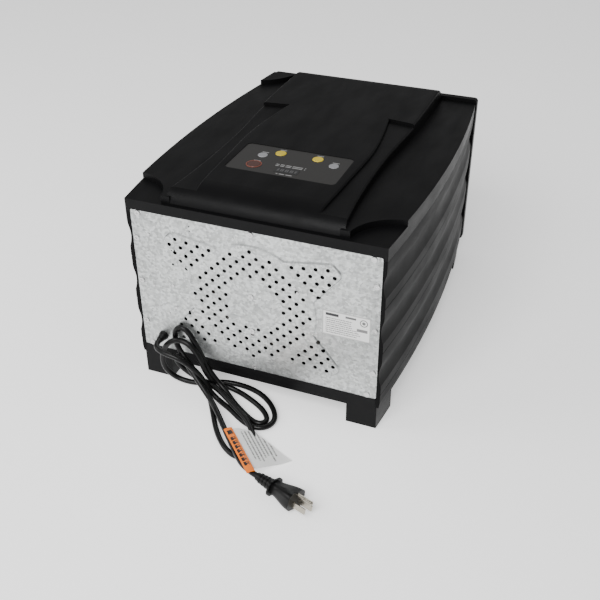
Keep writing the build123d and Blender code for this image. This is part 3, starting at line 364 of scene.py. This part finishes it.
def tag_print(name, colour):
    """A coloured film with a row of plain dark blocks down its middle."""
    surface = Surface(name, Roughness=0.35, Specular_IOR_Level=0.35)
    along, across = along_tag(surface)
    pitch = (along - 0.016) / 0.0076
    block = (pitch % 1 > 0.2) * (pitch > 0) * (pitch < 7)
    slot = (pitch * 2 % 1 > 0.62) * (abs(across - 0.0012) < 0.0011)
    mark = (along > 0.005) * (along < 0.0125)
    ink = (block * (1 - slot) + mark) * (abs(across) < 0.0030)
    fade = surface.noise(70, 3)
    plain = surface.blend(fade, shade(colour, 0.85), shade(colour, 1.1))
    surface.feed("Base Color", surface.blend(surface.spread(ink, 0, 1), plain, (0.012, 0.01, 0.01)))
    return surface.material


def leaf_print(name):
    """A white paper leaf with rows of small grey bars in place of print."""
    surface = Surface(name, Roughness=0.6)
    along, across = along_tag(surface)
    rows = printed_rows(surface, (along - 0.004) / 0.066, (across - 0.011) / 0.036, 8, (0.7, 0.97))
    rows = rows * (across > 0.013) * (across < 0.044)
    fibre = surface.noise(220, 4)
    plain = surface.blend(fibre, (0.80, 0.80, 0.79), (0.88, 0.88, 0.87))
    surface.feed("Base Color", surface.blend(rows * 0.85, plain, (0.06, 0.06, 0.06)))
    surface.bump(fibre, 0.00003)
    return surface.material


def control_film(name, colour):
    """Film over the controls: small plain marks by each key in place of print."""
    surface = Surface(name, Specular_IOR_Level=0.4)
    x = surface.axis("X")
    y = surface.axis("Y")
    ink = 0
    for key in ("key_power", "key_timer", "key_light", "key_up", "key_down"):
        low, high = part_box(key)
        middle = (low[0] + high[0]) / 2
        near = low[1] - 0.0024
        wide = abs(x - middle) < 0.0042
        ink = ink + wide * (abs(y - near) < 0.0007) * 0.55
    low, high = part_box("display_window")
    middle = (low[0] + high[0]) / 2
    words = surface.noise(260, 0, surface.stretched(1, 0, 0)) > 0.42
    for row in range(2):
        line = low[1] - 0.0042 - 0.0036 * row
        ink = ink + (abs(x - middle) < 0.019) * (abs(y - line) < 0.0008) * words * 0.5
    ink = ink + (abs(x - middle) < 0.010) * (abs(y - (high[1] + 0.004)) < 0.0008) * words * 0.5
    speckle = surface.noise(900, 2)
    plain = surface.blend(speckle, shade(colour, 0.85), shade(colour, 1.15))
    surface.feed("Base Color", surface.blend(surface.spread(ink, 0, 1), plain, (0.55, 0.55, 0.55)))
    surface.feed("Roughness", surface.spread(speckle, 0.3, 0.7, 0.36, 0.44))
    return surface.material


def display(name):
    """Glossy black window over faint unlit segments."""
    surface = Surface(name, Roughness=0.14)
    low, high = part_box("display_window")
    across = (surface.axis("X") - low[0]) / (high[0] - low[0])
    up = (surface.axis("Y") - low[1]) / (high[1] - low[1])
    cell = (across * 5) % 1
    segments = (cell > 0.2) * (cell < 0.8) * (up > 0.25) * (up < 0.75) * (across > 0.08) * (across < 0.92)
    hollow = (cell > 0.36) * (cell < 0.64) * (abs(abs(up - 0.5) - 0.125) < 0.075)
    haze = surface.noise(60, 2)
    dark = surface.blend(haze, (0.006, 0.006, 0.007), (0.012, 0.012, 0.013))
    surface.feed("Base Color", surface.blend(segments * (1 - hollow) * 0.6, dark, (0.13, 0.13, 0.13)))
    return surface.material


def smoked(name):
    """Smoked clear plastic."""
    surface = Surface(name, Transmission_Weight=0.85, IOR=1.49, Coat_Weight=0.2)
    haze = surface.noise(40, 3)
    surface.feed("Base Color", surface.blend(haze, (0.10, 0.10, 0.11), (0.14, 0.14, 0.15)))
    surface.feed("Roughness", surface.spread(haze, 0.3, 0.7, 0.04, 0.1))
    return surface.material


def circuit_board(name):
    """Green lacquer with faint copper tracks."""
    surface = Surface(name, Roughness=0.38)
    tracks = surface.add("ShaderNodeTexBrick", {},
                         {"Vector": surface.place(), "Scale": 130, "Mortar Size": 0.03,
                          "Color1": (0.01, 0.10, 0.035), "Color2": (0.015, 0.13, 0.045),
                          "Mortar": (0.05, 0.24, 0.09)})
    surface.feed("Base Color", tracks)
    return surface.material


# ---- operators ----------------------------------------------------------------------------------
class DEHYDRATOR_OT_stage(Operator):
    """Make the floor, the soft lights and the camera"""
    bl_idname = "dehydrator.stage"
    bl_label = "Stage"

    def execute(self, context):
        settings = context.scene.dehydrator_stage
        scene = context.scene
        camera_data = bpy.data.cameras.new("camera")
        camera = bpy.data.objects.new("camera", camera_data)
        scene.collection.objects.link(camera)
        camera_data.lens = settings.lens
        camera_data.sensor_width = 36
        place = Vector(CAMERA_PLACE)
        target = Vector(CAMERA_TARGET)
        turn = (target - place).to_track_quat("-Z", "Y").to_matrix().to_4x4()
        roll = Matrix.Rotation(math.radians(ROLL_DEG), 4, "Z")
        camera.matrix_world = Matrix.Translation(place) @ turn @ roll
        scene.camera = camera

        floor_surface = Surface("worktop", Roughness=0.7, Specular_IOR_Level=0.1,
                                Emission_Color=(1, 1, 1), Emission_Strength=0.6)
        mottle = floor_surface.noise(3, 3)
        floor_surface.feed("Base Color", floor_surface.blend(mottle, (0.95, 0.95, 0.95),
                                                             (0.98, 0.98, 0.98)))
        mesh = bpy.data.meshes.new("floor")
        bm = bmesh.new()
        bmesh.ops.create_grid(bm, x_segments=8, y_segments=8, size=FLOOR_HALF)
        bm.to_mesh(mesh)
        bm.free()
        floor = bpy.data.objects.new("floor", mesh)
        mesh.materials.append(floor_surface.material)
        scene.collection.objects.link(floor)

        world = bpy.data.worlds.new("studio")
        scene.world = world
        world.use_nodes = True
        background = world.node_tree.nodes["Background"]
        background.inputs["Color"].default_value = (1, 1, 1, 1)
        background.inputs["Strength"].default_value = settings.ambient
        for name, spot, size, power in (
            ("behind_camera", (0.1, 2.1, 1.9), 1.6, settings.key_power),
            ("left", (1.9, 1.0, 1.3), 1.2, settings.fill_power),
        ):
            light_data = bpy.data.lights.new(name, "AREA")
            light_data.energy = power
            light_data.shape = "SQUARE"
            light_data.size = size
            light = bpy.data.objects.new(name, light_data)
            light.location = spot
            aim = Vector(LIGHT_TARGET) - Vector(spot)
            light.rotation_euler = aim.to_track_quat("-Z", "Y").to_euler()
            scene.collection.objects.link(light)
        return {"FINISHED"}


class DEHYDRATOR_OT_lead(Operator):
    """Make the mains lead, hanked behind the machine"""
    bl_idname = "dehydrator.lead"
    bl_label = "Mains lead"

    def execute(self, context):
        diameter = context.scene.dehydrator_lead.diameter
        curve = bpy.data.curves.new("mains_lead", "CURVE")
        curve.dimensions = "3D"
        spline = curve.splines.new("NURBS")
        spline.points.add(len(LEAD_ROUTE) - 1)
        for point, place in zip(spline.points, LEAD_ROUTE):
            point.co = (*place, 1)
        spline.order_u = 3
        spline.use_endpoint_u = True
        spline.resolution_u = 12
        curve.bevel_depth = diameter / 2
        curve.bevel_resolution = 6
        curve.use_fill_caps = True
        lead = bpy.data.objects.new("mains_lead", curve)
        context.scene.collection.objects.link(lead)
        curve.materials.append(rubbery("lead_sheath", (0.003, 0.003, 0.003), 0.3))
        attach(lead, "housing")
        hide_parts("cord_exit", "hank_upper", "hank_lower", "cord_lead")
        return {"FINISHED"}


class DEHYDRATOR_OT_finishes(Operator):
    """Give every part of the frame its finish"""
    bl_idname = "dehydrator.finishes"
    bl_label = "Finishes"

    def execute(self, context):
        colours = context.scene.dehydrator_finish
        shell = moulded("shell_plastic", colours.shell, 0.44, 1500, 0.00006, 0.1)
        ribbed = moulded("ribbed_plastic", colours.ribbed, 0.5, 1800, 0.00002, 0.06)
        inner = moulded("inner_plastic", (0.03, 0.03, 0.032), 0.5, 1200, 0.00004)
        screws = plain_metal("plated_screw", (0.62, 0.62, 0.62), 0.3)
        steel = plain_metal("rolled_steel", (0.5, 0.5, 0.51), 0.35)
        ceramic = moulded("ceramic", (0.62, 0.6, 0.55), 0.65, 900, 0.00005)
        rubber = rubbery("foot_rubber", (0.02, 0.02, 0.02), 0.7)
        sheath = rubbery("moulded_rubber", (0.003, 0.003, 0.003), 0.34)
        grey_key = moulded("grey_key", (0.22, 0.22, 0.23), 0.4, 1500, 0.00002)
        yellow_key = moulded("yellow_key", colours.up_down, 0.38, 1500, 0.00002)
        finish_of = {
            "top_cover": shell, "base_pan": shell, "rear_frame": shell, "front_frame": shell,
            "feet_front": shell, "feet_rear": shell, "foot_pads": rubber,
            "side_shell_left": ribbed, "side_shell_right": ribbed,
            "rear_panel": zinc_sheet("zinc_sheet", colours.sheet),
            "panel_screws": screws, "motor_screws": screws, "rivets": screws,
            "rating_label": label_print("label_print"),
            "liner_left": inner, "liner_right": inner, "liner_floor": inner, "liner_ceiling": inner,
            "fan_baffle": inner, "drip_tray": inner, "fan": inner,
            "door_frame": shell, "door_handle": shell, "door_window": smoked("smoked_window"),
            "door_magnets": steel, "fan_shaft": steel, "motor": steel, "motor_bracket": steel,
            "heater_coil": plain_metal("heater_wire", (0.25, 0.2, 0.18), 0.5),
            "heater_posts": ceramic, "heater_cutouts": ceramic, "terminal_block": ceramic,
            "board_posts": ceramic, "key_switches": inner,
            "control_board": circuit_board("circuit_board"),
            "control_overlay": control_film("control_film", colours.overlay),
            "display_window": display("display_black"),
            "power_ring": moulded("ring_red", (0.16, 0.045, 0.03), 0.4, 1500, 0.00002),
            "key_power": moulded("dark_key", (0.05, 0.018, 0.014), 0.35, 1500, 0.00002),
            "key_timer": grey_key, "key_light": grey_key, "key_up": yellow_key, "key_down": yellow_key,
            "strain_relief": sheath, "plug_body": sheath,
            "cord_tag": tag_print("tag_film", colours.tag), "tag_leaf": leaf_print("leaf_paper"),
            "plug_blades": plain_metal("plated_blade", (0.42, 0.39, 0.33), 0.25),
            "plug_earth_pin": plain_metal("plated_pin", (0.42, 0.39, 0.33), 0.25),
        }
        tray = moulded("tray_plastic", (0.025, 0.025, 0.027), 0.48, 1400, 0.00004)
        for name, node in NODES.items():
            material = finish_of.get(name, tray)
            node.data.materials.clear()
            node.data.materials.append(material)
        return {"FINISHED"}


class DEHYDRATOR_PT_panel(Panel):
    """The machine's pieces, one button each"""
    bl_idname = "DEHYDRATOR_PT_panel"
    bl_label = "Food dehydrator"
    bl_space_type = "VIEW_3D"
    bl_region_type = "UI"
    bl_category = "Dehydrator"

    def draw(self, context):
        scene = context.scene
        for group in (scene.dehydrator_finish, scene.dehydrator_lead, scene.dehydrator_stage):
            box = self.layout.box()
            for name in group.__annotations__:
                box.prop(group, name)
        for operator in OPERATORS:
            self.layout.operator(operator.bl_idname)


OPERATORS = (DEHYDRATOR_OT_stage, DEHYDRATOR_OT_lead, DEHYDRATOR_OT_finishes)
SETTINGS = {
    "dehydrator_finish": FinishSettings,
    "dehydrator_lead": LeadSettings,
    "dehydrator_stage": StageSettings,
}


def register():
    for item in (*SETTINGS.values(), *OPERATORS, DEHYDRATOR_PT_panel):
        bpy.utils.register_class(item)
    for name, group in SETTINGS.items():
        setattr(bpy.types.Scene, name, PointerProperty(type=group))


def unregister():
    for name in SETTINGS:
        delattr(bpy.types.Scene, name)
    for item in (DEHYDRATOR_PT_panel, *OPERATORS[::-1], *SETTINGS.values()):
        bpy.utils.unregister_class(item)


def main():
    """Makes the stage and every piece in order."""
    register()
    bpy.ops.dehydrator.stage()
    bpy.ops.dehydrator.lead()
    bpy.ops.dehydrator.finishes()


if __name__ == "__main__":
    main()
